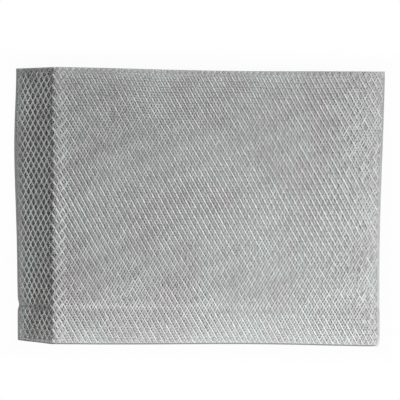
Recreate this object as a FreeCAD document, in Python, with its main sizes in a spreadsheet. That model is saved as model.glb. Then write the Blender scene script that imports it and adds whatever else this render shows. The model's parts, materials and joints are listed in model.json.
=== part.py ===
"""Cooker hood grease filter: a frameless pad of five expanded-aluminium sheets.

The sheets lie on each other, are pressed flat together along their margins and
are formed as one pad: a flap bent down along one side, and a crease pressed
across the whole width near the lower edge.

Sheet coordinates: u runs along the sheet, across the bend, with the flap on the
minus side. y runs along the bend. n is the height over the middle of the pad.
"""

import FreeCAD, Part
import math
import os
import Sketcher

# Driving dimensions: alias, value in millimetres or degrees, meaning
DIMENSIONS = (
    ("panel_width", 326.0, "bend to the far side edge, measured along the sheet"),
    ("flap_length", 46.0, "bend to the tip of the flap, measured along the sheet"),
    ("pad_height", 278.0, "lower edge to upper edge"),
    ("flap_angle", 28.0, "how far the flap is bent down, in degrees"),
    ("bend_radius", 12.0, "radius of the bend at the middle of the pad"),
    ("margin", 4.0, "width of the margin that is pressed flat"),
    ("slope", 5.0, "width of the slope from the margin to the full pad"),
    ("crease_offset", 36.0, "lower edge to the bottom of the crease"),
    ("crease_depth", 2.2, "depth of the crease"),
    ("crease_upper", 5.0, "width of the crease's upper wall"),
    ("crease_lower", 24.0, "width of the crease's lower wall"),
    ("wall", 0.5, "thickness of a sheet, without ridges"),
    ("ridge", 1.5, "height of a strand over its sheet"),
    ("layer_gap", 1.0, "air between two sheets in the pad"),
    ("pressed_gap", 0.15, "clearance between two sheets in the margin"),
    ("end_gap", 1.0, "end of an inner sheet to the start of the slope"),
    ("diamond_width", 13.3, "short diagonal of a diamond between strands"),
    ("diamond_height", 23.7, "long diagonal of a diamond between strands"),
    ("gap_share", 0.55, "size of a gap, as a share of its diamond"),
    ("inner_gap_width", 20.0, "short diagonal of an inner sheet's gap"),
    ("inner_gap_height", 36.0, "long diagonal of an inner sheet's gap"),
    ("inner_gap_step_x", 62.0, "gap to gap on an inner sheet, across"),
    ("inner_gap_step_y", 54.0, "gap to gap on an inner sheet, upwards"),
)
INNER_SHEETS = ("inner_mesh_1", "inner_mesh_2", "inner_mesh_3")
SHEET_COUNT = len(INNER_SHEETS) + 2
OPEN_EVERY = 2  # every second diamond along each strand direction is open
CHORD_SHARE = 0.8  # share of the pressed clearance that a chord of the bend may take up
SEW_TOLERANCE = 0.001
REST_PASSES = 8


class Size:
    """A length that carries its spreadsheet expression and its present value."""

    def __init__(self, text, value):
        self.text = text
        self.value = value

    def __add__(self, other):
        return Size(f"({self.text} + {other.text})", self.value + other.value)

    def __sub__(self, other):
        return Size(f"({self.text} - {other.text})", self.value - other.value)

    def __mul__(self, factor):
        return Size(f"({self.text} * {factor})", self.value * factor)

    def __neg__(self):
        return self * -1


def make_sheet(doc):
    """The spreadsheet of driving dimensions, and a Size for each alias."""
    sheet = doc.addObject("Spreadsheet::Sheet", "dimensions")
    for row, (alias, value, meaning) in enumerate(DIMENSIONS, start=1):
        sheet.set(f"A{row}", alias)
        sheet.set(f"B{row}", str(value))
        sheet.set(f"C{row}", meaning)
        sheet.setAlias(f"B{row}", alias)
    doc.recompute()
    return {alias: Size(f"dimensions.{alias}", float(sheet.get(alias))) for alias, _, _ in DIMENSIONS}


def bend_half(size):
    """Half the length of the bend along the middle of the pad."""
    radius, angle = size["bend_radius"], size["flap_angle"]
    text = f"({radius.text} * {angle.text} * pi / 360)"
    return Size(text, radius.value * math.radians(angle.value) / 2)


def formed_point(size, u, y, n):
    """Where a point of the flat pad lies once the flap is bent down."""
    radius = size["bend_radius"].value
    angle = math.radians(size["flap_angle"].value)
    half = bend_half(size).value
    if u >= half:
        return FreeCAD.Vector(u, y, n)
    turn = min((half - u) / radius, angle)
    beyond = max(-half - u, 0.0)
    x = half - (radius + n) * math.sin(turn) - beyond * math.cos(angle)
    z = (radius + n) * math.cos(turn) - radius - beyond * math.sin(angle)
    return FreeCAD.Vector(x, y, z)


def graded(stops, step):
    """Coordinates through all stops, each stretch divided evenly near the step."""
    places = [stops[0]]
    for start, end in zip(stops, stops[1:]):
        count = max(1, round((end - start) / step))
        places += [start + (end - start) * k / count for k in range(1, count)]
        places.append(end)
    return places


class MeshGrid:
    """Half-diamond grid of an outer sheet: strands cross on its even points.

    A point is even where its column and row add up to an even number. The odd
    points are the middles of the diamonds.
    """

    def __init__(self, size):
        value = {alias: entry.value for alias, entry in size.items()}
        rim = value["margin"] + value["slope"]
        top = value["pad_height"] / 2
        self.crease = value["crease_offset"] - top
        self.crease_walls = value["crease_lower"], value["crease_upper"]
        self.bend_lines = self.bend_places(size)
        self.u_stops = [
            -value["flap_length"],
            value["margin"] - value["flap_length"],
            rim - value["flap_length"],
            *self.bend_lines,
            value["panel_width"] - rim,
            value["panel_width"] - value["margin"],
            value["panel_width"],
        ]
        self.y_stops = [
            -top,
            value["margin"] - top,
            rim - top,
            self.crease - value["crease_lower"],
            self.crease,
            self.crease + value["crease_upper"],
            top - rim,
            top - value["margin"],
            top,
        ]
        self.u = graded(self.u_stops, value["diamond_width"] / 2)
        self.y = graded(self.y_stops, value["diamond_height"] / 2)
        self.columns = len(self.u) - 1
        self.rows = len(self.y) - 1

    @staticmethod
    def bend_places(size):
        """Fold lines across the bend, so close that no chord reaches the next sheet."""
        half = bend_half(size).value
        stack = (SHEET_COUNT - 1) / 2 * (size["wall"].value + size["layer_gap"].value)
        sag = size["pressed_gap"].value * CHORD_SHARE / (size["bend_radius"].value + stack)
        chord_angle = 2 * math.degrees(math.acos(1 - sag))
        count = max(2, math.ceil(size["flap_angle"].value / chord_angle))
        return [half * (2 * k / count - 1) for k in range(count + 1)]

    def in_side_margin(self, i):
        """Whether a column lies in the margin of the flap's tip or the far side."""
        return i <= 1 or i >= self.columns - 1

    def in_edge_margin(self, j):
        """Whether a row lies in the margin of the lower or upper edge."""
        return j <= 1 or j >= self.rows - 1

    def crease_share(self, j):
        """Depth of the crease at a row, as a share of its full depth."""
        above = self.y[j] - self.crease
        lower_wall, upper_wall = self.crease_walls
        return max(0.0, 1 - abs(above) / (upper_wall if above > 0 else lower_wall))

    def has_strand(self, i, j):
        """Whether strands cross here: not in margins, the bend or the crease, pressed flat."""
        pressed = self.in_side_margin(i) or self.in_edge_margin(j)
        folded = self.u[i] in self.bend_lines or self.y[j] == self.crease
        return (i + j) % 2 == 0 and not pressed and not folded

    def is_open(self, i, j, phase):
        """Whether the diamond around an odd point is a gap: only flat fields have gaps."""
        if (i + j) % 2 == 0:
            return False
        rising, falling = (i + j - 1) // 2, (i - j - 1) // 2
        if rising % OPEN_EVERY != phase or falling % OPEN_EVERY != phase:
            return False
        return self.is_flat(self.u, self.u_stops, i) and self.is_flat(self.y, self.y_stops, j)

    @staticmethod
    def is_flat(places, stops, index):
        """Whether a grid line is clear of every fold line, so its diamonds are flat."""
        return not any(place in stops for place in places[max(index - 1, 0) : index + 2])


class MeshSheet:
    """An outer sheet of expanded mesh as one closed solid of flat facets."""

    def __init__(self, size, side, phase):
        self.size = size
        self.value = {alias: entry.value for alias, entry in size.items()}
        self.grid = MeshGrid(size)
        self.side = side
        self.phase = phase
        self.points = []
        self.facets = []
        self.seen = {}

    def levels(self, i, j):
        """Heights of the sheet's lower and upper faces at a grid point."""
        value = self.value
        half_stack = (SHEET_COUNT - 1) / 2
        ridge = value["ridge"] if self.grid.has_strand(i, j) else 0.0
        if self.grid.in_side_margin(i):
            level = (value["wall"] + value["pressed_gap"]) / 2
        elif self.grid.in_edge_margin(j):
            level = half_stack * (value["wall"] + value["pressed_gap"])
        else:
            level = half_stack * (value["wall"] + value["layer_gap"])
        middle = self.side * level - value["crease_depth"] * self.grid.crease_share(j)
        lower, upper = middle - value["wall"] / 2, middle + value["wall"] / 2
        return (lower, upper + ridge) if self.side > 0 else (lower - ridge, upper)

    def flat(self, i, j, face):
        """A grid point on the lower (0) or upper (1) face, before forming."""
        return FreeCAD.Vector(self.grid.u[i], self.grid.y[j], self.levels(i, j)[face])

    def node(self, key, flat_point):
        """Index of a formed point, made once for each key."""
        if key not in self.seen:
            self.seen[key] = len(self.points)
            self.points.append(formed_point(self.size, *flat_point))
        return self.seen[key]

    def corner(self, at, face):
        """Index of a grid point on one face."""
        return self.node((at, face), self.flat(*at, face))

    def gap_corner(self, middle, towards, face):
        """Index of a gap's corner, part of the way from a diamond's middle to a strand."""
        start, end = self.flat(*middle, face), self.flat(*towards, face)
        return self.node((middle, towards, face), start + (end - start) * self.value["gap_share"])

    def add_polygon(self, corners):
        """A flat convex polygon as a fan of facets."""
        self.facets += [(corners[0], b, c) for b, c in zip(corners[1:], corners[2:])]

    def add_both_faces(self, first, middle, second):
        """One facet of a diamond on both faces, cut short where the diamond is a gap."""
        for face in (0, 1):
            if self.grid.is_open(*middle, self.phase):
                inside = [self.gap_corner(middle, first, face), self.gap_corner(middle, second, face)]
            else:
                inside = [self.corner(middle, face)]
            loop = [self.corner(first, face), *inside, self.corner(second, face)]
            self.add_polygon(loop if face == 1 else loop[::-1])
        if self.grid.is_open(*middle, self.phase):
            self.add_polygon(
                [
                    self.gap_corner(middle, second, 1),
                    self.gap_corner(middle, first, 1),
                    self.gap_corner(middle, first, 0),
                    self.gap_corner(middle, second, 0),
                ]
            )

    def add_edge_face(self, start, end):
        """The sheet's cut edge between two neighbouring grid points."""
        lower = [self.corner(start, 0), self.corner(end, 0)]
        self.add_polygon([*lower, self.corner(end, 1), self.corner(start, 1)])

    def solid(self):
        """The whole sheet, with flat neighbours merged into one face."""
        columns, rows = self.grid.columns, self.grid.rows
        for i in range(columns):
            for j in range(rows):
                a, b, c, d = (i, j), (i + 1, j), (i + 1, j + 1), (i, j + 1)
                if (i + j) % 2 == 0:
                    self.add_both_faces(a, b, c)
                    self.add_both_faces(c, d, a)
                else:
                    self.add_both_faces(d, a, b)
                    self.add_both_faces(b, c, d)
        for i in range(columns):
            self.add_edge_face((i, 0), (i + 1, 0))
            self.add_edge_face((i + 1, rows), (i, rows))
        for j in range(rows):
            self.add_edge_face((columns, j), (columns, j + 1))
            self.add_edge_face((0, j + 1), (0, j))
        shell = Part.Shape()
        shell.makeShapeFromMesh((self.points, self.facets), SEW_TOLERANCE)
        return Part.Solid(shell).removeSplitter()


def origin_plane(body, role):
    """One of a body's own origin planes."""
    return next(feature for feature in body.Origin.OriginFeatures if feature.Role == role)


def new_sketch(body, name, role):
    """An empty sketch on one of the body's origin planes."""
    sketch = body.newObject("Sketcher::SketchObject", name)
    sketch.AttachmentSupport = (origin_plane(body, role), [""])
    sketch.MapMode = "FlatFace"
    return sketch


def bind(sketch, kind, *where, to):
    """A constraint whose value follows the spreadsheet."""
    index = sketch.addConstraint(Sketcher.Constraint(kind, *where, to.value))
    sketch.setExpression(f"Constraints[{index}]", to.text)


def pin(sketch, geometry, end, x, y):
    """Holds one end of a line at a place worked out from the spreadsheet."""
    bind(sketch, "DistanceX", -1, 1, geometry, end, to=x)
    bind(sketch, "DistanceY", -1, 1, geometry, end, to=y)


def draw_polygon(sketch, corners):
    """A closed outline with each corner bound to the spreadsheet."""
    first = sketch.GeometryCount
    count = len(corners)
    spots = [FreeCAD.Vector(x.value, y.value, 0) for x, y in corners]
    for k in range(count):
        sketch.addGeometry(Part.LineSegment(spots[k], spots[(k + 1) % count]), False)
    for k in range(count):
        sketch.addConstraint(Sketcher.Constraint("Coincident", first + k, 2, first + (k + 1) % count, 1))
    for k, (x, y) in enumerate(corners):
        pin(sketch, first + k, 1, x, y)


def draw_section(sketch, size, index):
    """An inner sheet's section across the pad: margins, slopes, field and crease."""
    place = index - (SHEET_COUNT - 1) / 2
    half_wall = size["wall"] * 0.5
    field = (size["wall"] + size["layer_gap"]) * place
    pressed = (size["wall"] + size["pressed_gap"]) * place
    edge = size["pad_height"] * 0.5
    rim = size["margin"] + size["slope"]
    crease = size["crease_offset"] - edge
    middle_line = [
        (-edge, pressed),
        (size["margin"] - edge, pressed),
        (rim - edge, field),
        (crease - size["crease_lower"], field),
        (crease, field - size["crease_depth"]),
        (crease + size["crease_upper"], field),
        (edge - rim, field),
        (edge - size["margin"], pressed),
        (edge, pressed),
    ]
    lower = [(y, n - half_wall) for y, n in middle_line]
    upper = [(y, n + half_wall) for y, n in middle_line]
    draw_polygon(sketch, lower + upper[::-1])


def draw_spine(sketch, size, right_end, flap_end):
    """The line that a sheet follows: along the panel, round the bend, down the flap."""
    half = bend_half(size)
    radius, angle = size["bend_radius"], size["flap_angle"]
    zero = size["wall"] - size["wall"]
    turn = math.radians(angle.value)
    bend_end = formed_point(size, -half.value, 0, 0)
    tip = formed_point(size, -flap_end.value, 0, 0)
    start, bend_start = FreeCAD.Vector(right_end.value, 0, 0), FreeCAD.Vector(half.value, 0, 0)
    circle = Part.Circle(FreeCAD.Vector(half.value, -radius.value, 0), FreeCAD.Vector(0, 0, 1), radius.value)
    sketch.addGeometry(Part.LineSegment(start, bend_start), False)
    sketch.addGeometry(Part.ArcOfCircle(circle, math.pi / 2, math.pi / 2 + turn), False)
    tip, bend_end = FreeCAD.Vector(tip.x, tip.z, 0), FreeCAD.Vector(bend_end.x, bend_end.z, 0)
    sketch.addGeometry(Part.LineSegment(tip, bend_end), False)
    panel, bend, flap = range(3)
    sketch.addConstraint(Sketcher.Constraint("Coincident", panel, 2, bend, 1))
    sketch.addConstraint(Sketcher.Constraint("Tangent", bend, 2, flap, 2))
    pin(sketch, panel, 1, right_end, zero)
    pin(sketch, panel, 2, half, zero)
    pin(sketch, bend, 3, half, -radius)
    bind(sketch, "Angle", flap, to=Size(f"{angle.text} * 1deg", turn))
    bind(sketch, "Distance", flap, to=flap_end - half)


def punch_gaps(doc, body, size, right_end, index):
    """Diamond gaps through the panel, in rows and columns that shift from sheet to sheet."""
    step_x, step_y = size["inner_gap_step_x"], size["inner_gap_step_y"]
    half_width, half_height = size["inner_gap_width"] * 0.5, size["inner_gap_height"] * 0.5
    field_low = size["crease_offset"] + size["crease_upper"] - size["pad_height"] * 0.5
    field_high = size["pad_height"] * 0.5 - size["margin"] - size["slope"]
    shift = index % 2 * 0.5
    x = bend_half(size) + step_x * (0.5 + shift)
    y = field_low + step_y * (0.5 + shift)
    sketch = new_sketch(body, f"{body.Name}_gap_outline", "XY_Plane")
    draw_polygon(sketch, [(x + half_width, y), (x, y + half_height), (x - half_width, y), (x, y - half_height)])
    pocket = body.newObject("PartDesign::Pocket", f"{body.Name}_gap")
    pocket.Profile = sketch
    pocket.Type = "ThroughAll"
    pocket.Midplane = True
    doc.recompute()
    rows = body.newObject("PartDesign::MultiTransform", f"{body.Name}_gap_rows")
    rows.Originals = [pocket]
    patterns = []
    for axis, step, room in (
        ("X_Axis", step_x, right_end - x - half_width),
        ("Y_Axis", step_y, field_high - y - half_height),
    ):
        count = 1 + int(room.value // step.value)
        if count > 1:
            pattern = doc.addObject("PartDesign::LinearPattern", f"{body.Name}_{axis}")
            body.addObject(pattern)
            pattern.Direction = (origin_plane(body, axis), [""])
            pattern.setExpression("Length", (step * (count - 1)).text)
            pattern.Occurrences = count
            patterns.append(pattern)
    rows.Transformations = patterns
    body.Tip = rows
    doc.recompute()


def make_inner_sheet(doc, size, label, index):
    """An inner sheet: its section swept along the pad, then punched."""
    body = doc.addObject("PartDesign::Body", label)
    rim = size["margin"] + size["slope"] + size["end_gap"]
    right_end, flap_end = size["panel_width"] - rim, size["flap_length"] - rim
    section = new_sketch(body, f"{label}_section", "YZ_Plane")
    draw_section(section, size, index)
    section.setExpression("AttachmentOffset.Base.z", right_end.text)
    spine = new_sketch(body, f"{label}_spine", "XZ_Plane")
    draw_spine(spine, size, right_end, flap_end)
    doc.recompute()
    sweep = body.newObject("PartDesign::AdditivePipe", f"{label}_sweep")
    sweep.Profile = section
    sweep.Spine = (spine, ["Edge1", "Edge2", "Edge3"])
    doc.recompute()
    punch_gaps(doc, body, size, right_end, index)
    return body


def make_outer_sheet(doc, size, label, side, phase):
    """The front or back sheet with its strands."""
    feature = doc.addObject("Part::Feature", label)
    feature.Shape = MeshSheet(size, side, phase).solid()
    return feature


def rise(corners, turn, direction):
    """Slope, in degrees, from the lowest corner on one side of the bend line to the other's."""
    turned = [turn.multVec(point) for point in corners]
    near = min((point for point in turned if point.dot(direction) < 0), key=lambda point: point.z)
    far = min((point for point in turned if point.dot(direction) >= 0), key=lambda point: point.z)
    return math.degrees(math.atan2(far.z - near.z, (far - near).dot(direction)))


def rest_placement(sheets):
    """How the pad lies on a table: on the flap's tip, the far side and the crease."""
    corners = [vertex.Point for sheet in sheets for vertex in sheet.Shape.Vertexes]
    along, across = FreeCAD.Vector(1, 0, 0), FreeCAD.Vector(0, 1, 0)
    tilt, lean = 0.0, 0.0
    turn = FreeCAD.Rotation()
    for _ in range(REST_PASSES):
        tilt += rise(corners, turn, along)
        turn = FreeCAD.Rotation(along, lean).multiply(FreeCAD.Rotation(across, tilt))
        lean -= rise(corners, turn, across)
        turn = FreeCAD.Rotation(along, lean).multiply(FreeCAD.Rotation(across, tilt))
    box = FreeCAD.BoundBox()
    for point in corners:
        box.add(turn.multVec(point))
    return FreeCAD.Placement(FreeCAD.Vector(-box.Center.x, -box.Center.y, -box.ZMin), turn)


def check(doc, sheets):
    """Stops the build if any object failed or any sheet isn't one valid solid."""
    failed = [item.Label for item in doc.Objects if {"Invalid", "Error"} & set(item.State)]
    if failed:
        raise RuntimeError(f"these objects failed: {failed}")
    for sheet in sheets:
        shape = sheet.Shape
        if shape.isNull() or not shape.isValid() or len(shape.Solids) != 1 or shape.Volume <= 0:
            raise RuntimeError(f"{sheet.Label} isn't one valid solid")


def main():
    doc = FreeCAD.newDocument("grease_filter")
    size = make_sheet(doc)
    sheets = [make_outer_sheet(doc, size, "back_mesh", -1, 1)]
    for index, label in enumerate(INNER_SHEETS, start=1):
        sheets.append(make_inner_sheet(doc, size, label, index))
    sheets.append(make_outer_sheet(doc, size, "front_mesh", 1, 0))
    doc.recompute()
    placement = rest_placement(sheets)
    for sheet in sheets:
        sheet.Placement = placement
    doc.recompute()
    check(doc, sheets)
    os.makedirs("parts", exist_ok=True)
    for sheet in sheets:
        sheet.Shape.exportStep(f"parts/{sheet.Label}.step")


main()
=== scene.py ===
"""Looks of a frameless cooker hood grease filter: a formed pad of five sheets of expanded aluminium mesh."""

import json
import logging
import math
from dataclasses import dataclass, field
from enum import Enum, IntEnum

import bmesh
import bpy
import numpy as np
from mathutils import Matrix, Vector


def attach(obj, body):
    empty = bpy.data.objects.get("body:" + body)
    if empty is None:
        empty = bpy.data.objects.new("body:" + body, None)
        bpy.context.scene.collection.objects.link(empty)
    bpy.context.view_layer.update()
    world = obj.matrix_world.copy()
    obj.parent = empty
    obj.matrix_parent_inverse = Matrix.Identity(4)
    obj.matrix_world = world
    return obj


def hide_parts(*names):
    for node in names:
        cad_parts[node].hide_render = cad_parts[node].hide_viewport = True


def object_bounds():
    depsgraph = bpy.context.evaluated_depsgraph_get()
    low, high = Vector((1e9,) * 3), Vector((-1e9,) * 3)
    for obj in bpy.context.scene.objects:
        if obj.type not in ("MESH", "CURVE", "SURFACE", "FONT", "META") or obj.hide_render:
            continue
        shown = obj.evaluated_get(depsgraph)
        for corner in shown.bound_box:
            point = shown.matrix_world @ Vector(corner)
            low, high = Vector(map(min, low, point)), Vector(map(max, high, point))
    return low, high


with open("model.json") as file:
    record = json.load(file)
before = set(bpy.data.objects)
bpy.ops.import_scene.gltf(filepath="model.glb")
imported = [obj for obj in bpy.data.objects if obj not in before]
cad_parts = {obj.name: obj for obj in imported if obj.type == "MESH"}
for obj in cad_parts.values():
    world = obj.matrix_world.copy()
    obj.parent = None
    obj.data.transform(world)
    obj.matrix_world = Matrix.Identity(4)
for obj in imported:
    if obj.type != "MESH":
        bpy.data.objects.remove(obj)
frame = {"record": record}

CAD_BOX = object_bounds()
MM = 0.001
IMAGE_SIDE = 400
SENSOR_WIDTH = 36.0
WHITE = (1.0, 1.0, 1.0, 1.0)

Colour = tuple[float, float, float, float]
Direction = tuple[float, float, float]
Rims = dict[tuple[int, int], list[int]]  # Front points of the diamonds by column and row.

log = logging.getLogger("grease_filter")


class Rim(IntEnum):
    """Points round a diamond's rim: its four corners, each at a bond, and the middles of the four strands."""

    EAST = 0
    NORTH_EAST = 1
    NORTH = 2
    NORTH_WEST = 3
    WEST = 4
    SOUTH_WEST = 5
    SOUTH = 6
    SOUTH_EAST = 7


class Finish(Enum):
    """Surfaces of a sheet, in the order of its material slots."""

    ROLLED = 0
    SHEARED = 1


class FloorPart(Enum):
    """Parts of the floor, in the order of its material slots."""

    OPEN = 0
    COVERED = 1


class MixSocket(IntEnum):
    """Places of a Mix node's colour sockets, which share their names with its other sockets."""

    RESULT = 2
    FIRST = 6
    SECOND = 7


def smooth(share: np.ndarray) -> np.ndarray:
    """Eases a share from 0 to 1, with both ends level.

    Args:
        share: Values of any range; those outside 0 to 1 are taken to its ends.

    Returns:
        The eased values.
    """
    held = np.clip(share, 0.0, 1.0)
    return held * held * (3.0 - 2.0 * held)


def half_smooth(share: np.ndarray) -> np.ndarray:
    """Eases shares from 0 to 1 half as much as smooth does."""
    return (share + smooth(share)) / 2


def round_pairs(loop: list) -> zip:
    """Pairs each item of a closed loop with the next one."""
    return zip(loop, loop[1:] + loop[:1])


@dataclass(frozen=True)
class EdgeBow:
    """How an edge leaves the straight line between its corners.

    Args:
        depth: Greatest distance from that line in mm, positive into the sheet.
        peak: Share of the edge's length at which it is greatest.
    """

    depth: float
    peak: float

    def at(self, share: np.ndarray) -> np.ndarray:
        """Gives the bow's depth at places along the edge, from 0 to 1."""
        power = math.log(0.5) / math.log(self.peak)
        return self.depth * np.sin(np.pi * np.clip(share, 0.0, 1.0) ** power) ** 2


@dataclass(frozen=True)
class CornerPull:
    """Shift in mm of one corner of the outline from the square cut, along the sheet and up it."""

    along: float
    up: float


@dataclass(frozen=True)
class PadForm:
    """Outline, bend and crease that all the sheets of the pad share, in mm.

    A place on the sheet is given flattened out: u from the fold to the far side, y up from the middle of the
    sheet, and n out of its front. The flap has negative u. The middle of the bend lies at fold_shift, and the
    flap sags by flap_sag between the bend and its tip.
    """

    panel_width: float = 326.0
    flap_length: float = 46.0
    pad_height: float = 278.0
    flap_angle: float = math.radians(28.0)
    bend_radius: float = 3.0
    fold_shift: float = -3.3
    flap_sag: float = 0.4
    margin: float = 4.0
    crease_offset: float = 37.0
    crease_depth: float = 0.45
    crease_upper: float = 24.0
    crease_lower: float = 5.0
    notch_depth: float = 1.6
    notch_width: float = 4.0
    edge_columns: int = 60
    edge_rows: int = 40
    top_bow: EdgeBow = EdgeBow(1.4, 0.5)
    bottom_bow: EdgeBow = EdgeBow(1.4, 0.6)
    far_bow: EdgeBow = EdgeBow(1.9, 0.42)
    tip_bow: EdgeBow = EdgeBow(-3.0, 0.7)
    tip_top: CornerPull = CornerPull(-0.8, -0.8)
    tip_bottom: CornerPull = CornerPull(1.0, 1.2)
    fold_top: CornerPull = CornerPull(0.75, -0.2)
    fold_bottom: CornerPull = CornerPull(-0.25, 1.25)
    far_top: CornerPull = CornerPull(0.3, -0.6)
    far_bottom: CornerPull = CornerPull(0.85, 0.35)

    @property
    def half_height(self) -> float:
        """Distance from the middle of the sheet to its upper or lower edge."""
        return self.pad_height / 2

    @property
    def bend_half(self) -> float:
        """Half of the bend's length along the sheet."""
        return self.bend_radius * self.flap_angle / 2

    @property
    def crease_line(self) -> float:
        """Height of the crease's lowest line on the sheet."""
        return self.crease_offset - self.half_height

    def crease_share(self, y: np.ndarray) -> np.ndarray:
        """Gives the crease's depth as a share of its greatest depth.

        Args:
            y: Heights on the sheet.

        Returns:
            Shares from 0 outside the crease to 1 on its line.
        """
        above = y - self.crease_line
        wall = np.where(above > 0, self.crease_upper, self.crease_lower)
        return half_smooth(np.clip(1.0 - np.abs(above) / wall, 0.0, 1.0))

    def outline(self, u: np.ndarray, y: np.ndarray) -> tuple[np.ndarray, np.ndarray]:
        """Moves flattened places from the square cut to the pad's own uneven outline.

        Args:
            u: Places along the sheet.
            y: Places up the sheet.

        Returns:
            The moved u and y.
        """
        rise = y / self.pad_height + 0.5
        reach = np.clip(u / self.panel_width, 0.0, 1.0)
        flap = np.clip(-u / self.flap_length, 0.0, 1.0)

        def pulled(part: str) -> np.ndarray:
            """Blends one part of the six corner pulls over the sheet."""
            tip = self._between(rise, getattr(self.tip_bottom, part), getattr(self.tip_top, part))
            fold = self._between(rise, getattr(self.fold_bottom, part), getattr(self.fold_top, part))
            far = self._between(rise, getattr(self.far_bottom, part), getattr(self.far_top, part))
            return np.where(u < 0, fold + (tip - fold) * flap, fold + (far - fold) * reach)

        notch = self.notch_depth * np.exp(-(((y - self.crease_line) / self.notch_width) ** 2))
        tip_shift = self.tip_bow.at(rise) + notch
        vertical = self.bottom_bow.at(reach) * (1.0 - rise) ** 2 - self.top_bow.at(reach) * rise**2
        moved_u = u + pulled("along") - self.far_bow.at(rise) * reach**2 + tip_shift * flap**2
        return moved_u, y + pulled("up") + vertical

    @staticmethod
    def _between(share: np.ndarray, low: float, high: float) -> np.ndarray:
        """Blends two values by a share."""
        return low + (high - low) * share

    def edge(self) -> np.ndarray:
        """Gives points of the formed pad round its cut edge.

        Returns:
            The points, one row each.
        """
        along = np.linspace(-self.flap_length, self.panel_width, self.edge_columns)
        up = np.linspace(-self.half_height, self.half_height, self.edge_rows)
        row = np.ones(self.edge_columns - 1)
        column = np.ones(self.edge_rows - 1)
        u = np.concatenate([along[:-1], self.panel_width * column, along[:0:-1], -self.flap_length * column])
        y = np.concatenate([-self.half_height * row, up[:-1], self.half_height * row, up[:0:-1]])
        return self.formed(u, y, np.zeros_like(u))

    def formed(self, u: np.ndarray, y: np.ndarray, n: np.ndarray) -> np.ndarray:
        """Bends flattened places into the pad's form.

        Where the outline makes the flap longer, it slopes less, so that its tip still rests on the floor.

        Args:
            u: Places along the sheet.
            y: Places up the sheet.
            n: Places out of the sheet's front.

        Returns:
            Points of the formed pad, one row each.
        """
        across, up = self.outline(u, y)
        across = across - self.fold_shift
        flap = np.clip(-u / self.flap_length, 0.0, 1.0)
        sag = 4.0 * self.flap_sag * flap * (1.0 - flap)  # An arch, deepest in the flap's middle.
        out = n - self.crease_depth * self.crease_share(y) - sag
        half = self.bend_half
        turn = np.clip((half - across) / self.bend_radius, 0.0, self.flap_angle)
        beyond = np.maximum(-half - across, 0.0)
        tip, _ = self.outline(np.full_like(y, -self.flap_length), y)
        length = self.fold_shift - half - tip
        sine = math.sin(self.flap_angle) * np.minimum((self.flap_length - half) / length, 1.0)
        arc = self.bend_radius + out
        ahead = self.fold_shift + half + np.maximum(across - half, 0.0)
        x = ahead - arc * np.sin(turn) - beyond * np.sqrt(1.0 - sine**2)
        z = arc * np.cos(turn) - self.bend_radius - beyond * sine
        return np.column_stack([x, up, z])


@dataclass(frozen=True)
class RestPose:
    """How the formed pad lies on the floor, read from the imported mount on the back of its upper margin.

    Args:
        mount_depth: How far the mount lies behind the middle of the pad, in mm.
        mount_start: Where its stretch of the margin starts, in mm from the fold.
        mount_end: Where that stretch ends, in mm from the far side.
    """

    form: PadForm
    mount_name: str = "upper_margin_back"
    mount_depth: float = 1.55
    mount_start: float = 2.93
    mount_end: float = 9.0

    def matrix(self) -> Matrix:
        """Works out the pad's placement.

        Returns:
            The matrix from the formed pad, in mm, to the frame, in metres.
        """
        mount = next(m for m in frame["record"]["mounts"] if m["name"] == self.mount_name)
        normal = -Vector(mount["axis"])
        tilt = math.asin(normal.x)
        lean = math.atan2(-normal.y, normal.z)
        turn = Matrix.Rotation(lean, 4, "X") @ Matrix.Rotation(tilt, 4, "Y")
        form = self.form
        along = (self.mount_start + form.panel_width - self.mount_end) / 2
        point = Vector((along, form.half_height - form.margin / 2, -self.mount_depth)) * MM
        shift = Vector(mount["pos_m"]) - turn @ point
        return Matrix.Translation(shift) @ turn @ Matrix.Scale(MM, 4)


@dataclass(frozen=True)
class GridLines:
    """Half pitch lines across one direction of a sheet.

    Args:
        origin: Place in mm of a line on which diamonds start.
        half_pitch: Distance in mm from a diamond's middle to the next bond.
        shift: Share of a half pitch by which the sheet lies out of step with the front one.
    """

    origin: float
    half_pitch: float
    shift: float

    def covering(self, low: float, high: float) -> np.ndarray:
        """Spaces lines that reach past two borders, at which the sheet is cut.

        Args:
            low: The first border.
            high: The last border.

        Returns:
            The lines.
        """
        pair = 2.0 * self.half_pitch
        line = self.origin + self.shift * self.half_pitch
        first = math.floor((low - line) / pair) - 1
        last = math.ceil((high - line) / pair) + 1
        return line + self.half_pitch * np.arange(2 * first, 2 * last + 1)


@dataclass(frozen=True)
class PressedEdge:
    """How one edge of the pad is pressed, with distances in mm from the cut.

    Args:
        edge_step: Distance between two sheets at the cut.
        pressed_step: Distance between two sheets at the end of the margin.
        slope: Width of the slope from the margin to the full pad.
        flat_to: Distance up to which the strands are flat.
        twisted_from: Distance from which they are twisted as in the middle of the sheet.
        rim: Width of the rim along the cut, in which no diamond is open.
        lip: Height of the cut above the rim's inner side.
    """

    edge_step: float
    pressed_step: float
    slope: float
    flat_to: float
    twisted_from: float
    rim: float
    lip: float

    def twist(self, inward: np.ndarray) -> np.ndarray:
        """Gives the share of the full twist that strands have at distances from the cut."""
        return smooth((inward - self.flat_to) / (self.twisted_from - self.flat_to))

    def thickness(self, inward: np.ndarray, margin: float, field_step: float) -> np.ndarray:
        """Gives the thickness of the stack of sheets near the cut.

        Args:
            inward: Distances from the cut.
            margin: Width of the pressed margin.
            field_step: Distance between two sheets in the middle of the pad.

        Returns:
            Shares of the full thickness.
        """
        edge, pressed = self.edge_step / field_step, self.pressed_step / field_step
        in_margin = (pressed - edge) * np.clip(inward / margin, 0.0, 1.0)
        risen = np.clip((inward - margin) / self.slope, 0.0, 1.0)
        return edge + in_margin + (1.0 - pressed) * half_smooth(risen)


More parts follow.
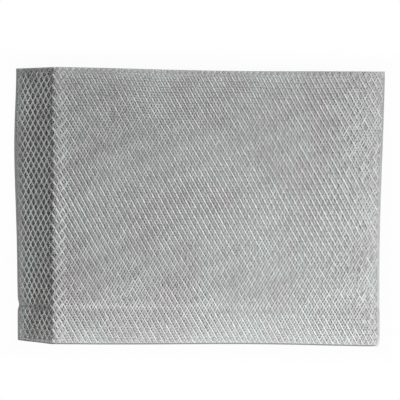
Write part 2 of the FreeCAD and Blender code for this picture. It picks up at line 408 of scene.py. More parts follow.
@dataclass
class ExpandedSheet:
    """One sheet of expanded aluminium mesh: strands in two directions that meet in bonds round open diamonds.

    Lengths are in mm, and places u and y are those of PadForm.

    Args:
        name: Name of the piece.
        node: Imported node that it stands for.
        slot: Material slot of the record.
        form: Form of the pad.
        layer: Place in the pad, from -2 at the back to 2 at the front.
        across: Lines along the sheet.
        upward: Lines up the sheet.
        side_inset: How far the sheet's sides end short of the pad's own.
        seed: Seed of the sheet's small irregularities.
        flap_slip: How far the bend has moved the flap's diamonds, in half pitches along and up the sheet.
        tip, far, top, bottom: The sheet's four edges.
        tip_lift: How far forward the sheets are pressed at the flap's tip.
        lip_slope: Slope with which a side's lip rises from its corners, over shares of the side's length.
        strand_rise: How far a twist lifts one side of a strand and lowers the other.
        open_share: Width of a diamond's opening as a share of the pitch.
        far_crushed: How uneven the strands are at the far side, fading over far_zone.
        crushed_shut, crushed_flat: How much smaller the openings and flatter the strands are there.
        crushed_jitter, crushed_shake: How much more the twists and places vary there.
        crease_flat: How much flatter the strands are on the crease's line, fading over crease_row.
        flap_shut: How much smaller the openings are on the flap.
        flap_twist: Twist of the flap's strands against that of the panel's.
        place_jitter, share_jitter, rise_jitter: How much the diamonds' places, sizes and twists vary.
        drift, wave: Height of the slow waves in the rows of diamonds, and of those out of the sheet.
    """

    name: str
    node: str
    slot: str
    form: PadForm
    layer: int
    across: GridLines
    upward: GridLines
    side_inset: float
    seed: int
    flap_slip: tuple[float, float] = (0.0, 0.0)
    slip_from: float = -2.0
    slip_to: float = 12.0
    tip: PressedEdge = PressedEdge(
        edge_step=0.7, pressed_step=0.9, slope=20.0, flat_to=-2.0, twisted_from=9.0, rim=2.2, lip=-0.05)
    far: PressedEdge = PressedEdge(
        edge_step=0.85, pressed_step=0.7, slope=40.0, flat_to=-4.0, twisted_from=2.0, rim=1.6, lip=0.45)
    top: PressedEdge = PressedEdge(
        edge_step=0.75, pressed_step=1.2, slope=24.0, flat_to=-2.0, twisted_from=10.0, rim=0.5, lip=-0.15)
    bottom: PressedEdge = PressedEdge(
        edge_step=1.0, pressed_step=0.9, slope=36.0, flat_to=-4.0, twisted_from=2.0, rim=1.3, lip=0.6)
    field_step: float = 1.75
    tip_lift: float = 1.3
    thickness: float = 0.3
    rim_thickness: float = 0.36
    rim_lap: float = 0.15
    rim_points: int = 120
    lip_slope: float = 40.0
    strand_rise: float = 0.108
    open_share: float = 0.855
    far_crushed: float = 0.95
    far_zone: float = 65.0
    crushed_shut: float = -0.04
    crushed_flat: float = 0.35
    crushed_jitter: float = 0.5
    crushed_shake: float = 2.0
    crease_flat: float = 0.85
    crease_row: float = 3.5
    flap_shut: float = 0.12
    flap_twist: float = 1.0
    flap_from: float = -7.0
    flap_to: float = -2.5
    place_jitter: float = 0.08
    share_jitter: float = 0.02
    rise_jitter: float = 0.15
    drift: float = 0.7
    drift_length: float = 140.0
    wave: float = 0.12
    wave_length: float = 55.0
    sharp_angle: float = math.radians(7.0)
    points: list[tuple[float, float, float]] = field(default_factory=list)
    rims: Rims = field(default_factory=dict)
    faces: list[list[int]] = field(default_factory=list)
    finishes: list[Finish] = field(default_factory=list)

    def build(self, place: Matrix) -> bpy.types.Object:
        """Makes the sheet's mesh and puts it in the scene.

        Args:
            place: Placement of the formed pad.

        Returns:
            The sheet's object.
        """
        mesh = self._flat_mesh()
        flat = np.empty(3 * len(mesh.vertices))
        mesh.vertices.foreach_get("co", flat)
        u, y, n = flat.reshape(-1, 3).T
        formed = self.form.formed(u, y, n + self._level(u, y))
        world = formed @ np.array(place.to_3x3()).T + np.array(place.translation)
        mesh.vertices.foreach_set("co", world.ravel())
        mesh.update()
        mesh.shade_smooth()
        mesh.set_sharp_from_angle(angle=self.sharp_angle)
        sheet = bpy.data.objects.new(self.name, mesh)
        bpy.context.scene.collection.objects.link(sheet)
        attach(sheet, "root")
        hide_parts(self.node)
        return sheet

    @property
    def has_rim(self) -> bool:
        """Whether the sheet reaches the pad's edges, where it has a rim."""
        return self.side_inset == 0.0

    @property
    def reach(self) -> tuple[float, float]:
        """The sheet's first and last place along the pad."""
        return self.side_inset - self.form.flap_length, self.form.panel_width - self.side_inset

    def _edge_twist(self, u: float, y: float) -> float:
        """Says how much of the full twist the pressed edges leave to the strands at a place.

        Args:
            u: Place along the sheet.
            y: Place up the sheet.

        Returns:
            A share from 0 in the pressed margins to 1.
        """
        form = self.form
        sides = self.tip.twist(u + form.flap_length) * self.far.twist(form.panel_width - u)
        ends = self.top.twist(form.half_height - y) * self.bottom.twist(form.half_height + y)
        return float(sides * ends)

    def _crushed(self, u: float) -> float:
        """Says how uneven the strands are at a place along the sheet, as a share."""
        return self.far_crushed * (1.0 - float(smooth((self.form.panel_width - u) / self.far_zone)))

    @staticmethod
    def _before(u: float, start: float, end: float) -> float:
        """Says how much a place along the sheet lies on the flap's side of a stretch, from 1 to 0."""
        return 1.0 - float(smooth((u - start) / (end - start)))

    def _level(self, u: np.ndarray, y: np.ndarray) -> np.ndarray:
        """Gives the sheet's middle level.

        Args:
            u: Places along the sheet.
            y: Places up the sheet.

        Returns:
            The level out of the pad's middle at each place.
        """
        form = self.form
        reach = {"tip": u + form.flap_length, "far": form.panel_width - u,
                 "top": form.half_height - y, "bottom": form.half_height + y}
        shares = {name: getattr(self, name).thickness(inward, form.margin, self.field_step)
                  for name, inward in reach.items()}
        lift = self.tip_lift * (1.0 - shares["tip"])
        ripple = 2 * np.pi / self.wave_length
        wave = self.wave * np.sin(u * ripple + self.seed) * np.sin(2.0 * y * ripple + self.seed)
        return lift + (self.layer * self.field_step + wave) * np.minimum.reduce(list(shares.values()))

    def _flat_mesh(self) -> bpy.types.Mesh:
        """Makes the flattened sheet: its diamonds, cut square, and its rim.

        Returns:
            The mesh, with u, y and n as its coordinates.
        """
        rng = np.random.default_rng(self.seed)
        columns = self.across.covering(*self.reach)
        rows = self.upward.covering(-self.form.half_height, self.form.half_height)
        for i in range(len(columns)):
            for j in range(i % 2, len(rows), 2):
                self.rims[i, j] = self._diamond(rng, columns[i], rows[j])
        self._strand_faces(len(columns), len(rows))
        self._bond_faces(len(columns), len(rows))
        self._wall_faces()
        mesh = bpy.data.meshes.new(self.name)
        mesh.from_pydata(self.points, [], self.faces)
        mesh.polygons.foreach_set("material_index", [finish.value for finish in self.finishes])
        self._finish_edges(mesh)
        return mesh

    def _diamond(self, rng: np.random.Generator, u: float, y: float) -> list[int]:
        """Adds the points round one diamond's rim, on the front and the back of the sheet.

        Args:
            rng: Source of the small irregularities.
            u: The diamond's middle along the sheet.
            y: The diamond's middle up the sheet.

        Returns:
            Ids of the front points in the order of Rim. Each has its back point straight after it.
        """
        size_shake, twist_shake, along_shake, up_shake = rng.normal(0.0, 1.0, 4)
        crushed = self._crushed(u)
        flap = self._before(u, self.flap_from, self.flap_to)
        slip = self._before(u, self.slip_from, self.slip_to)
        crease = math.exp(-(((y - self.form.crease_line) / self.crease_row) ** 2))

        shut = self.crushed_shut * crushed + self.flap_shut * flap
        share = self.open_share * (1.0 + self.share_jitter * size_shake) * (1.0 - shut)
        east = share * self.across.half_pitch
        north = share * self.upward.half_pitch

        turn = 2 * math.pi / self.drift_length
        shaken = self.place_jitter * (1.0 + self.crushed_shake * crushed)
        across = u + self.drift * math.sin(turn * y) + shaken * along_shake
        across += slip * self.flap_slip[0] * self.across.half_pitch
        upward = y + self.drift * math.sin(turn * u) + shaken * up_shake
        upward += slip * self.flap_slip[1] * self.upward.half_pitch

        twist = self._edge_twist(u, y)
        twist *= (1.0 - self.crushed_flat * crushed) * (1.0 + flap * (self.flap_twist - 1.0))
        twist *= (1.0 - self.crease_flat * crease) * (1.0 - share) / (1.0 - self.open_share)
        twist *= 1.0 + (self.rise_jitter + self.crushed_jitter * crushed) * twist_shake
        rise = self.strand_rise * twist
        return [
            self._point_pair(across + east, upward, -rise),
            self._point_pair(across + east / 2, upward + north / 2, -rise),
            self._point_pair(across, upward + north, 0.0),
            self._point_pair(across - east / 2, upward + north / 2, rise),
            self._point_pair(across - east, upward, rise),
            self._point_pair(across - east / 2, upward - north / 2, rise),
            self._point_pair(across, upward - north, 0.0),
            self._point_pair(across + east / 2, upward - north / 2, -rise),
        ]

    def _point_pair(self, u: float, y: float, rise: float) -> int:
        """Adds a front point and the back point under it, and returns the front one's id."""
        self.points.append((u, y, rise + self.thickness / 2))
        self.points.append((u, y, rise - self.thickness / 2))
        return len(self.points) - 2

    def _both_faces(self, corners: list[int]) -> None:
        """Adds a face on the front and its twin on the back."""
        self.faces.append(corners)
        self.faces.append([corner + 1 for corner in reversed(corners)])
        self.finishes += [Finish.ROLLED, Finish.ROLLED]

    def _strand_faces(self, columns: int, rows: int) -> None:
        """Adds one strand, in two halves, across each square of the grid.

        Args:
            columns: Number of columns.
            rows: Number of rows.
        """
        for i in range(columns - 1):
            for j in range(rows - 1):
                if (i + j) % 2 == 0:
                    below, above = self.rims[i, j], self.rims[i + 1, j + 1]
                    near = [below[Rim.EAST], below[Rim.NORTH_EAST], below[Rim.NORTH]]
                    far = [above[Rim.SOUTH], above[Rim.SOUTH_WEST], above[Rim.WEST]]
                else:
                    below, above = self.rims[i + 1, j], self.rims[i, j + 1]
                    near = [above[Rim.SOUTH], above[Rim.SOUTH_EAST], above[Rim.EAST]]
                    far = [below[Rim.WEST], below[Rim.NORTH_WEST], below[Rim.NORTH]]
                for half in (0, 1):
                    self._both_faces([near[half], far[half], far[half + 1], near[half + 1]])

    def _bond_faces(self, columns: int, rows: int) -> None:
        """Adds the bonds where four strands meet.

        Args:
            columns: Number of columns.
            rows: Number of rows.
        """
        for i in range(1, columns - 1):
            for j in range(1 + i % 2, rows - 1, 2):
                self._both_faces([self.rims[i - 1, j][Rim.EAST], self.rims[i, j - 1][Rim.NORTH],
                                  self.rims[i + 1, j][Rim.WEST], self.rims[i, j + 1][Rim.SOUTH]])

    def _wall_faces(self) -> None:
        """Adds the sheared walls of each diamond."""
        for rim in self.rims.values():
            for start, end in round_pairs(rim):
                self.faces.append([start, end, end + 1, start + 1])
                self.finishes.append(Finish.SHEARED)

    def _finish_edges(self, mesh: bpy.types.Mesh) -> None:
        """Cuts the sheet square, closes the cut strands and adds the rim.

        Args:
            mesh: The flattened sheet.
        """
        low, high = self.reach
        half = self.form.half_height
        outer = [low, high, -half, half]
        inner = [low + self.tip.rim, high - self.far.rim, self.bottom.rim - half, half - self.top.rim]
        lap = self.rim_lap if self.has_rim else 0.0
        shape = bmesh.new()
        shape.from_mesh(mesh)
        for place, axis, sign in zip(inner, (0, 0, 1, 1), (-1.0, 1.0, -1.0, 1.0)):
            cut = [0.0, 0.0, 0.0]
            cut[axis] = place + sign * lap
            away = [0.0, 0.0, 0.0]
            away[axis] = sign
            self._cut(shape, cut, away)
        if self.has_rim:
            self._add_rim(shape, outer, inner)
        shape.to_mesh(mesh)
        shape.free()

    @staticmethod
    def _cut(shape: bmesh.types.BMesh, place: list[float], away: list[float]) -> None:
        """Cuts off what lies beyond a plane and closes the cut strands.

        Args:
            shape: The flattened sheet.
            place: A point on the plane.
            away: The plane's normal, towards what is cut off.
        """
        everything = shape.verts[:] + shape.edges[:] + shape.faces[:]
        result = bmesh.ops.bisect_plane(
            shape, geom=everything, plane_co=place, plane_no=away, clear_outer=True)
        edges = [part for part in result["geom_cut"] if isinstance(part, bmesh.types.BMEdge)]
        for face in bmesh.ops.holes_fill(shape, edges=edges, sides=0)["faces"]:
            face.material_index = Finish.SHEARED.value

    def _add_rim(self, shape: bmesh.types.BMesh, outer: list[float], inner: list[float]) -> None:
        """Adds the closed rim along the cut edges.

        Args:
            shape: The flattened sheet.
            outer: Low and high u and low and high y of the cut.
            inner: The same of the rim's inner side.
        """
        facing = math.copysign(1.0, self.layer)
        ring = []
        for side, edge in enumerate((self.bottom, self.far, self.top, self.tip)):
            for step in range(self.rim_points):
                share = step / self.rim_points
                lip = facing * edge.lip * min(1.0, self.lip_slope * share, self.lip_slope * (1 - share))
                section = []
                for box, rise in ((outer, lip), (inner, 0.0)):
                    u, y = self._on_side(box, side, share)
                    for face in (0.5, -0.5):
                        section.append(shape.verts.new((u, y, rise + face * self.rim_thickness)))
                ring.append(section)
        for here, there in round_pairs(ring):
            for start, end, finish in ((0, 2, Finish.ROLLED), (2, 3, Finish.SHEARED),
                                       (3, 1, Finish.ROLLED), (1, 0, Finish.SHEARED)):
                face = shape.faces.new((here[start], there[start], there[end], here[end]))
                face.material_index = finish.value

    @staticmethod
    def _on_side(box: list[float], side: int, share: float) -> tuple[float, float]:
        """Gives a place on one side of a box.

        Args:
            box: Low and high u and low and high y.
            side: The side's number, from the lower one and round to the left one.
            share: Share of the side's length.

        Returns:
            The place's u and y.
        """
        corners = [(box[0], box[2]), (box[1], box[2]), (box[1], box[3]), (box[0], box[3])]
        start, end = corners[side], corners[(side + 1) % 4]
        return start[0] + (end[0] - start[0]) * share, start[1] + (end[1] - start[1]) * share


class NodeTree:
    """Short calls for making shader nodes. An input is a socket to link, or a constant."""

    def __init__(self, tree: bpy.types.NodeTree) -> None:
        """Keeps the tree that the calls work on."""
        self.tree = tree

    def fill(self, node: bpy.types.Node, inputs: dict[str | int, object]) -> None:
        """Gives a node its inputs.

        Args:
            node: The node.
            inputs: The inputs by the name or place of their socket.
        """
        for label, value in inputs.items():
            if isinstance(value, bpy.types.NodeSocket):
                self.tree.links.new(value, node.inputs[label])
            else:
                node.inputs[label].default_value = value

    def add(self, kind: str, inputs: dict[str | int, object] | None = None,
            **settings: object) -> bpy.types.Node:
        """Adds a node.

        Args:
            kind: Blender's name of the node type.
            inputs: The inputs by the name or place of their socket.
            settings: Properties of the node.

        Returns:
            The node.
        """
        node = self.tree.nodes.new(kind)
        for name, value in settings.items():
            setattr(node, name, value)
        self.fill(node, inputs or {})
        return node

    def math(self, operation: str, *values: object) -> bpy.types.NodeSocket:
        """Adds a Math node and gives its result's socket."""
        return self.add("ShaderNodeMath", dict(enumerate(values)), operation=operation).outputs["Value"]

    def mixed(self, share: object, first: object, second: object) -> bpy.types.NodeSocket:
        """Adds a Mix node for two colours and gives its result's socket."""
        inputs = {"Factor": share, MixSocket.FIRST: first, MixSocket.SECOND: second}
        return self.add("ShaderNodeMix", inputs, data_type="RGBA").outputs[MixSocket.RESULT]

    def eased(self, value: bpy.types.NodeSocket, start: float, end: float, first: float,
              last: float) -> bpy.types.NodeSocket:
        """Adds a Map Range node that eases from one result to another.

        Args:
            value: The value to map.
            start: Value that gives the first result.
            end: Value that gives the last result.
            first: The first result.
            last: The last result.

        Returns:
            The result's socket.
        """
        inputs = {"Value": value, "From Min": start, "From Max": end, "To Min": first, "To Max": last}
        return self.add("ShaderNodeMapRange", inputs, interpolation_type="SMOOTHSTEP").outputs["Result"]


@dataclass(frozen=True)
class RolledSurface:
    """Unevenness of rolled foil, as a group that the metals share: broad patches, streaks and fine speckles.

    Patches make patch_share of the tint and speckles speckle_share of the roughness, and streaks the rest.
    """

    name: str = "rolled_surface"
    patch_scale: float = 22.0
    patch_detail: float = 3.0
    patch_share: float = 0.6
    patch_range: tuple[float, float] = (0.3, 0.7)
    streak_scale: float = 260.0
    streak_stretch: tuple[float, float, float] = (1.0, 0.06, 1.0)
    speckle_scale: float = 1400.0
    speckle_share: float = 0.5
    fine_detail: float = 2.0

    def group(self) -> bpy.types.NodeTree:
        """Builds the group.

        Returns:
            The group, with a colour, a roughness and a height that change over the surface.
        """
        tree = bpy.data.node_groups.new(self.name, "ShaderNodeTree")
        nodes = NodeTree(tree)
        for label, kind in (("Dark", "NodeSocketColor"), ("Light", "NodeSocketColor"),
                            ("Smoothest", "NodeSocketFloat"), ("Roughest", "NodeSocketFloat")):
            tree.interface.new_socket(label, in_out="INPUT", socket_type=kind)
        for label, kind in (("Color", "NodeSocketColor"), ("Roughness", "NodeSocketFloat"),
                            ("Height", "NodeSocketFloat")):
            tree.interface.new_socket(label, in_out="OUTPUT", socket_type=kind)
        given = nodes.add("NodeGroupInput").outputs
        place = nodes.add("ShaderNodeTexCoord").outputs["Object"]
        stretch = nodes.add("ShaderNodeMapping", {"Vector": place, "Scale": self.streak_stretch})
        patches = self._noise(nodes, place, self.patch_scale, self.patch_detail)
        speckle = self._noise(nodes, place, self.speckle_scale, self.fine_detail)
        streaks = self._noise(nodes, stretch.outputs["Vector"], self.streak_scale, self.fine_detail)

        patched = nodes.math("MULTIPLY", patches, self.patch_share)
        blend = nodes.math("ADD", patched, nodes.math("MULTIPLY", streaks, 1.0 - self.patch_share))
        tint = nodes.mixed(nodes.eased(blend, *self.patch_range, 0.0, 1.0), given["Dark"], given["Light"])

        speckled = nodes.math("MULTIPLY", speckle, self.speckle_share)
        uneven = nodes.math("ADD", speckled, nodes.math("MULTIPLY", streaks, 1.0 - self.speckle_share))
        rough = nodes.add("ShaderNodeMapRange", {
            "Value": uneven, "To Min": given["Smoothest"], "To Max": given["Roughest"]})
        nodes.add("NodeGroupOutput", {
            "Color": tint, "Roughness": rough.outputs["Result"],
            "Height": nodes.math("ADD", speckled, streaks)})
        return tree

    @staticmethod
    def _noise(nodes: NodeTree, place: bpy.types.NodeSocket, scale: float,
               detail: float) -> bpy.types.NodeSocket:
        """Adds a noise and gives its value's socket."""
        inputs = {"Vector": place, "Scale": scale, "Detail": detail}
        return nodes.add("ShaderNodeTexNoise", inputs).outputs["Fac"]


@dataclass(frozen=True)
class BareAluminium:
    """Satin aluminium foil with no coating.

    Args:
        name: Name of the material.
        dark: Colour of its duller patches.
        light: Colour of its brighter patches.
        smoothest: Least roughness.
        roughest: Greatest roughness.
        bump: Strength of the rolled surface's bump.
        bump_depth: Depth of the bump in metres.
    """

    name: str
    dark: Colour
    light: Colour
    smoothest: float
    roughest: float
    bump: float
    bump_depth: float = 0.00004

    def material(self, surface: bpy.types.NodeTree) -> bpy.types.Material:
        """Makes the material.

        Args:
            surface: The shared group of the rolled surface.

        Returns:
            The material.
        """
        material = bpy.data.materials.new(self.name)
        material.use_nodes = True
        nodes = NodeTree(material.node_tree)
        rolled = nodes.add("ShaderNodeGroup", {
            "Dark": self.dark, "Light": self.light,
            "Smoothest": self.smoothest, "Roughest": self.roughest}, node_tree=surface)
        bump = nodes.add("ShaderNodeBump", {
            "Strength": self.bump, "Distance": self.bump_depth, "Height": rolled.outputs["Height"]})
        nodes.fill(material.node_tree.nodes["Principled BSDF"], {
            "Metallic": 1.0, "Base Color": rolled.outputs["Color"],
            "Roughness": rolled.outputs["Roughness"], "Normal": bump.outputs["Normal"]})
        return material


@dataclass
class FilterPad:
    """The whole pad: its form, its five sheets and their metals.

    Args:
        half_across, half_upward: Half of the diamonds' pitch along the sheets and up them, in mm.
        first_across, first_upward: Place of a bond of the front sheet, in mm.
        middle_seed: Seed of the middle sheet, from which the others count.
        inner_inset, inner_rise, inner_share: side_inset, strand_rise and open_share of the inner sheets.
        front_flap_twist, hidden_flap_twist: flap_twist of the front sheet and of the others.
    """

    form: PadForm = PadForm()
    half_across: float = 3.045
    half_upward: float = 5.324
    first_across: float = -43.0
    first_upward: float = -133.6
    middle_seed: int = 13
    inner_inset: float = 1.5
    inner_rise: float = 0.16
    inner_share: float = 0.76
    front_flap_twist: float = 1.16
    hidden_flap_twist: float = 0.46
    outer_metal: BareAluminium = BareAluminium(
        "outer_rolled_aluminium", dark=(0.75, 0.705, 0.722, 1.0), light=(0.745, 0.823, 0.812, 1.0),
        smoothest=0.34, roughest=0.50, bump=0.35)
    # The inner sheets' colours are darker than the outer sheets' as painted shade: they stand in for the
    # shade between the stacked sheets, which are the same aluminium.
    shaded_inner_metal: BareAluminium = BareAluminium(
        "inner_aluminium_painted_shade", dark=(0.62, 0.615, 0.615, 1.0), light=(0.74, 0.755, 0.75, 1.0),
        smoothest=0.38, roughest=0.56, bump=0.35)
    sheared_metal: BareAluminium = BareAluminium(
        "sheared_aluminium", dark=(0.76, 0.76, 0.75, 1.0), light=(0.88, 0.88, 0.875, 1.0),
        smoothest=0.28, roughest=0.42, bump=0.6)

    def sheets(self) -> list[ExpandedSheet]:
        """Lists the sheets.

        Returns:
            The five sheets from the back to the front.
        """
        outer = {"slot": "outer_mesh", "side_inset": 0.0}
        inner = {"slot": "inner_mesh", "side_inset": self.inner_inset, "strand_rise": self.inner_rise,
                 "open_share": self.inner_share, "flap_twist": self.hidden_flap_twist}
        return [
            self._sheet("back_mesh", -2, 0.6, 0.2, flap_twist=self.hidden_flap_twist, **outer),
            self._sheet("inner_mesh_1", -1, 0.2, 0.7, wider=0.9985, **inner),
            self._sheet("inner_mesh_2", 0, 0.9, 0.1, wider=1.001, flap_slip=(-0.5, -0.1), **inner),
            self._sheet("inner_mesh_3", 1, 0.5, -0.5, flap_slip=(-0.8, 0.5), **inner),
            self._sheet("front_mesh", 2, 0.0, 0.0, flap_twist=self.front_flap_twist, **outer),
        ]

    def _sheet(self, node: str, layer: int, across: float, upward: float, wider: float = 1.0,
               **settings: object) -> ExpandedSheet:
        """Describes one sheet.

        Args:
            node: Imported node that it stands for.
            layer: Its place in the pad.
            across: Its shift along the sheet, in half pitches.
            upward: Its shift up the sheet, in half pitches.
            wider: Its pitch along the sheet against the front sheet's.
            settings: Its other fields.

        Returns:
            The sheet.
        """
        return ExpandedSheet(
            name=node.replace("mesh", "mesh_sheet"), node=node, form=self.form, layer=layer,
            across=GridLines(self.first_across, self.half_across * wider, across),
            upward=GridLines(self.first_upward, self.half_upward, upward),
            seed=self.middle_seed + layer, **settings)

    def build(self, place: Matrix) -> list[bpy.types.Object]:
        """Builds and dresses the sheets.

        Args:
            place: Placement of the formed pad.

        Returns:
            The sheets' objects.
        """
        surface = RolledSurface().group()
        sheared = self.sheared_metal.material(surface)
        metals = {"outer_mesh": self.outer_metal.material(surface),
                  # The inner sheets get the darker metal, whose colour holds painted shade between the
                  # layers.
                  "inner_mesh": self.shaded_inner_metal.material(surface)}
        built = []
        for sheet in self.sheets():
            piece = sheet.build(place)
            piece.data.materials.append(metals[sheet.slot])
            piece.data.materials.append(sheared)
            built.append(piece)
        return built


@dataclass(frozen=True)
class PaleFloor:
    """White floor that keeps the pad's shadow and is plain white away from it.

    Args:
        side: Side of the floor in metres.
        colour: Colour of the floor.
        faintest: Share of plain white at the pad, where the rest is shadow.
        shadow_to: Distance from the pad in metres at which the floor is plain white.
        footprint_share: Size of the floor's face under the pad against the pad's edge.
    """

    side: float = 120.0
    colour: Colour = (0.93, 0.93, 0.93, 1.0)
    faintest: float = 0.94
    shadow_to: float = 0.03
    footprint_share: float = 0.997

    def build(self, edge: np.ndarray) -> bpy.types.Object:
        """Makes the floor, with a face of its own under the pad that is never plain white.

        Args:
            edge: Points round the pad's edge.

        Returns:
            The floor's object.
        """
        half = self.side / 2
        middle = edge.mean(axis=0)
        under = middle + self.footprint_share * (edge - middle)
        corners = ((-half, -half), (half, -half), (half, half), (-half, half))
        shape = bmesh.new()
        outside = [shape.verts.new((x, y, 0.0)) for x, y in corners]
        inside = [shape.verts.new((x, y, 0.0)) for x, y, _ in under]
        edges = [shape.edges.new(pair) for loop in (outside, inside) for pair in round_pairs(loop)]
        bmesh.ops.triangle_fill(shape, edges=edges, use_beauty=True)
        shape.faces.new(inside).material_index = FloorPart.COVERED.value
        mesh = bpy.data.meshes.new("floor")
        shape.to_mesh(mesh)
        shape.free()
        floor = bpy.data.objects.new("floor", mesh)
        bpy.context.scene.collection.objects.link(floor)
        materials = {FloorPart.OPEN: self._open_floor(), FloorPart.COVERED: self._covered_floor()}
        for part in FloorPart:
            mesh.materials.append(materials[part])
        return floor

    def _covered_floor(self) -> bpy.types.Material:
        """Makes the material of the floor under the pad.

        Returns:
            The material.
        """
        material = bpy.data.materials.new("covered_floor")
        material.use_nodes = True
        shader = material.node_tree.nodes["Principled BSDF"]
        NodeTree(material.node_tree).fill(shader, {"Base Color": self.colour, "Roughness": 1.0})
        return material

    def _open_floor(self) -> bpy.types.Material:
        """Makes the material of the open floor, plain white but for a faint shadow round the pad.

        Returns:
            The material.
        """
        material = bpy.data.materials.new("pale_floor")
        material.use_nodes = True
        material.node_tree.nodes.clear()
        nodes = NodeTree(material.node_tree)
        diffuse = nodes.add("ShaderNodeBsdfDiffuse", {"Color": self.colour})
        plain = nodes.add("ShaderNodeEmission")
        rays = nodes.add("ShaderNodeLightPath").outputs
        seen = nodes.math("MAXIMUM", rays["Is Camera Ray"], rays["Is Glossy Ray"])
        seen = nodes.math("MAXIMUM", seen, rays["Is Transmission Ray"])
        position = nodes.add("ShaderNodeNewGeometry").outputs["Position"]
        place = nodes.add("ShaderNodeSeparateXYZ", {"Vector": position})
        beyond = [self._beyond(nodes, place.outputs[axis], axis) for axis in (0, 1)]
        white = nodes.eased(nodes.math("MAXIMUM", *beyond), 0.0, self.shadow_to, self.faintest, 1.0)
        share = nodes.math("MULTIPLY", seen, white)
        shaders = {0: share, 1: diffuse.outputs["BSDF"], 2: plain.outputs["Emission"]}
        mix = nodes.add("ShaderNodeMixShader", shaders)
        nodes.add("ShaderNodeOutputMaterial", {"Surface": mix.outputs["Shader"]})
        return material

    @staticmethod
    def _beyond(nodes: NodeTree, place: bpy.types.NodeSocket, axis: int) -> bpy.types.NodeSocket:
        """Gives how far a place lies beyond the pad's footprint along one axis, negative within it."""
        low, high = CAD_BOX[0][axis], CAD_BOX[1][axis]
        from_middle = nodes.math("ABSOLUTE", nodes.math("SUBTRACT", place, (low + high) / 2))
        return nodes.math("SUBTRACT", from_middle, (high - low) / 2)


@dataclass(frozen=True)
class SoftBox:
    """A soft lamp that points at the middle of the pad.

    Args:
        name: Name of the lamp.
        direction: Direction from the pad to the lamp.
        distance: Distance to the lamp in metres.
        size: Side of the lamp in metres.
        power: Power in watts.
    """

    name: str
    direction: Direction
    distance: float
    size: float
    power: float

    def build(self) -> bpy.types.Object:
        """Makes the lamp.

        Returns:
            The lamp's object.
        """
        lamp = bpy.data.lights.new(self.name, "AREA")
        lamp.shape = "SQUARE"
        lamp.size = self.size
        lamp.energy = self.power
        light = bpy.data.objects.new(self.name, lamp)
        towards = Vector(self.direction).normalized()
        light.location = towards * self.distance
        light.rotation_euler = towards.to_track_quat("Z", "Y").to_euler()
        bpy.context.scene.collection.objects.link(light)
        return light


@dataclass(frozen=True)
class SkyGlow:
    """A broad pale side of the surroundings.

    Args:
        direction: Direction of its middle.
        strength: Strength there.
        full_from: Cosine of the angle from its middle within which the strength is full.
        dim_from: Cosine of the angle at which it ends.
    """

    direction: Direction
    strength: float
    full_from: float
    dim_from: float


@dataclass(frozen=True)
class SoftSky:
    """Plain surroundings with a few broad glows, pale at the horizon.

    Args:
        glows: The glows.
        low: Strength away from them.
        horizon: Strength at the horizon, where the surroundings are pale like the floor.
        horizon_top: Sine of the height at which that paleness ends.
        low_tint: Tint of the low surroundings.
        tint_range: Sines of the heights over which the tint fades.
    """

    glows: tuple[SkyGlow, ...] = (
        SkyGlow((0.26, -0.58, 0.81), strength=1.27, full_from=0.97, dim_from=0.35),
        SkyGlow((0.20, 0.75, 0.62), strength=0.12, full_from=1.0, dim_from=0.40),
        SkyGlow((0.10, 0.93, 0.36), strength=0.45, full_from=0.98, dim_from=0.85),
        SkyGlow((-0.80, -0.50, 0.35), strength=0.07, full_from=1.0, dim_from=0.80),
    )
    low: float = 0.075
    horizon: float = 1.0
    horizon_top: float = 0.11
    low_tint: Colour = (1.0, 1.0, 0.95, 1.0)
    tint_range: tuple[float, float] = (0.35, 0.75)

    def build(self) -> bpy.types.World:
        """Makes the surroundings.

        Returns:
            Their world.
        """
        world = bpy.data.worlds.new("soft_sky")
        world.use_nodes = True
        nodes = NodeTree(world.node_tree)
        direction = nodes.add("ShaderNodeTexCoord").outputs["Generated"]
        height = nodes.add("ShaderNodeSeparateXYZ", {"Vector": direction}).outputs["Z"]
        strength = nodes.eased(height, 0.0, self.horizon_top, self.horizon, self.low)
        for glow in self.glows:
            towards = Vector(glow.direction).normalized()
            facing = nodes.add("ShaderNodeVectorMath", {0: direction, 1: towards}, operation="DOT_PRODUCT")
            part = nodes.eased(facing.outputs["Value"], glow.dim_from, glow.full_from, 0.0, glow.strength)
            strength = nodes.math("ADD", strength, part)
        tint = nodes.mixed(nodes.eased(height, *self.tint_range, 0.0, 1.0), self.low_tint, WHITE)
        nodes.fill(world.node_tree.nodes["Background"], {"Color": tint, "Strength": strength})
        return world


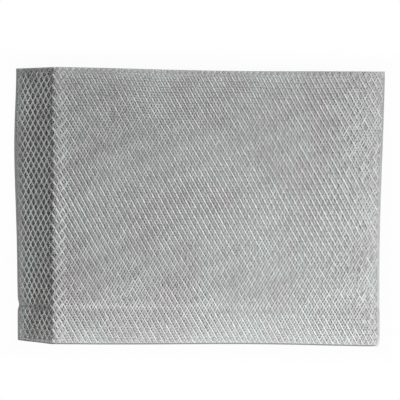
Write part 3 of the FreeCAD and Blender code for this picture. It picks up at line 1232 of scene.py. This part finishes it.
@dataclass(frozen=True)
class Studio:
    """Floor, lamps and surroundings."""

    floor: PaleFloor = PaleFloor()
    sky: SoftSky = SoftSky()
    lamps: tuple[SoftBox, ...] = (
        SoftBox("key_lamp", (-0.06, -0.50, 0.84), distance=1.8, size=1.2, power=1.6),
    )

    def build(self, edge: np.ndarray) -> None:
        """Makes the floor and the light.

        Args:
            edge: Points round the pad's edge.
        """
        self.floor.build(edge)
        for lamp in self.lamps:
            lamp.build()
        scene = bpy.context.scene
        scene.world = self.sky.build()
        scene.view_settings.view_transform = "Standard"


@dataclass(frozen=True)
class DownwardCamera:
    """Camera above the lying pad, placed in the formed pad's own axes.

    Args:
        along: Its place along the pad in mm.
        up: Its place up the pad in mm.
        distance: Its distance from the panel in mm.
        focal: Focal length in pixels of the image.
        yaw: Turn to the side.
        pitch: Turn up.
        roll: Turn in the image.
    """

    along: float = 112.85
    up: float = 65.5
    distance: float = 960.0
    focal: float = 960.4
    yaw: float = math.radians(1.81)
    pitch: float = math.radians(3.405)
    roll: float = math.radians(-0.618)

    def build(self, place: Matrix) -> bpy.types.Object:
        """Makes the camera and sets it as the scene's own.

        Args:
            place: Placement of the formed pad.

        Returns:
            The camera's object.
        """
        data = bpy.data.cameras.new("camera")
        data.sensor_width = SENSOR_WIDTH
        data.lens = self.focal * SENSOR_WIDTH / IMAGE_SIDE
        camera = bpy.data.objects.new("camera", data)
        turn = Matrix.Rotation(self.roll, 3, "Z") @ Matrix.Rotation(self.pitch, 3, "X")
        turn = turn @ Matrix.Rotation(self.yaw, 3, "Y")
        axes = place.to_3x3().normalized() @ turn.transposed()
        spot = place @ Vector((self.along, self.up, self.distance))
        camera.matrix_world = Matrix.Translation(spot) @ axes.to_4x4()
        bpy.context.scene.collection.objects.link(camera)
        bpy.context.scene.camera = camera
        return camera


def main() -> None:
    """Builds the pad, the studio and the camera, and reports each piece."""
    logging.basicConfig(level=logging.INFO, format="%(name)s: %(message)s")
    pad = FilterPad()
    place = RestPose(pad.form).matrix()
    for piece in pad.build(place):
        log.info("%s: %d points, %d faces", piece.name, len(piece.data.vertices), len(piece.data.polygons))
    Studio().build(np.array([place @ Vector(point) for point in pad.form.edge()]))
    DownwardCamera().build(place)


if __name__ == "__main__":
    main()
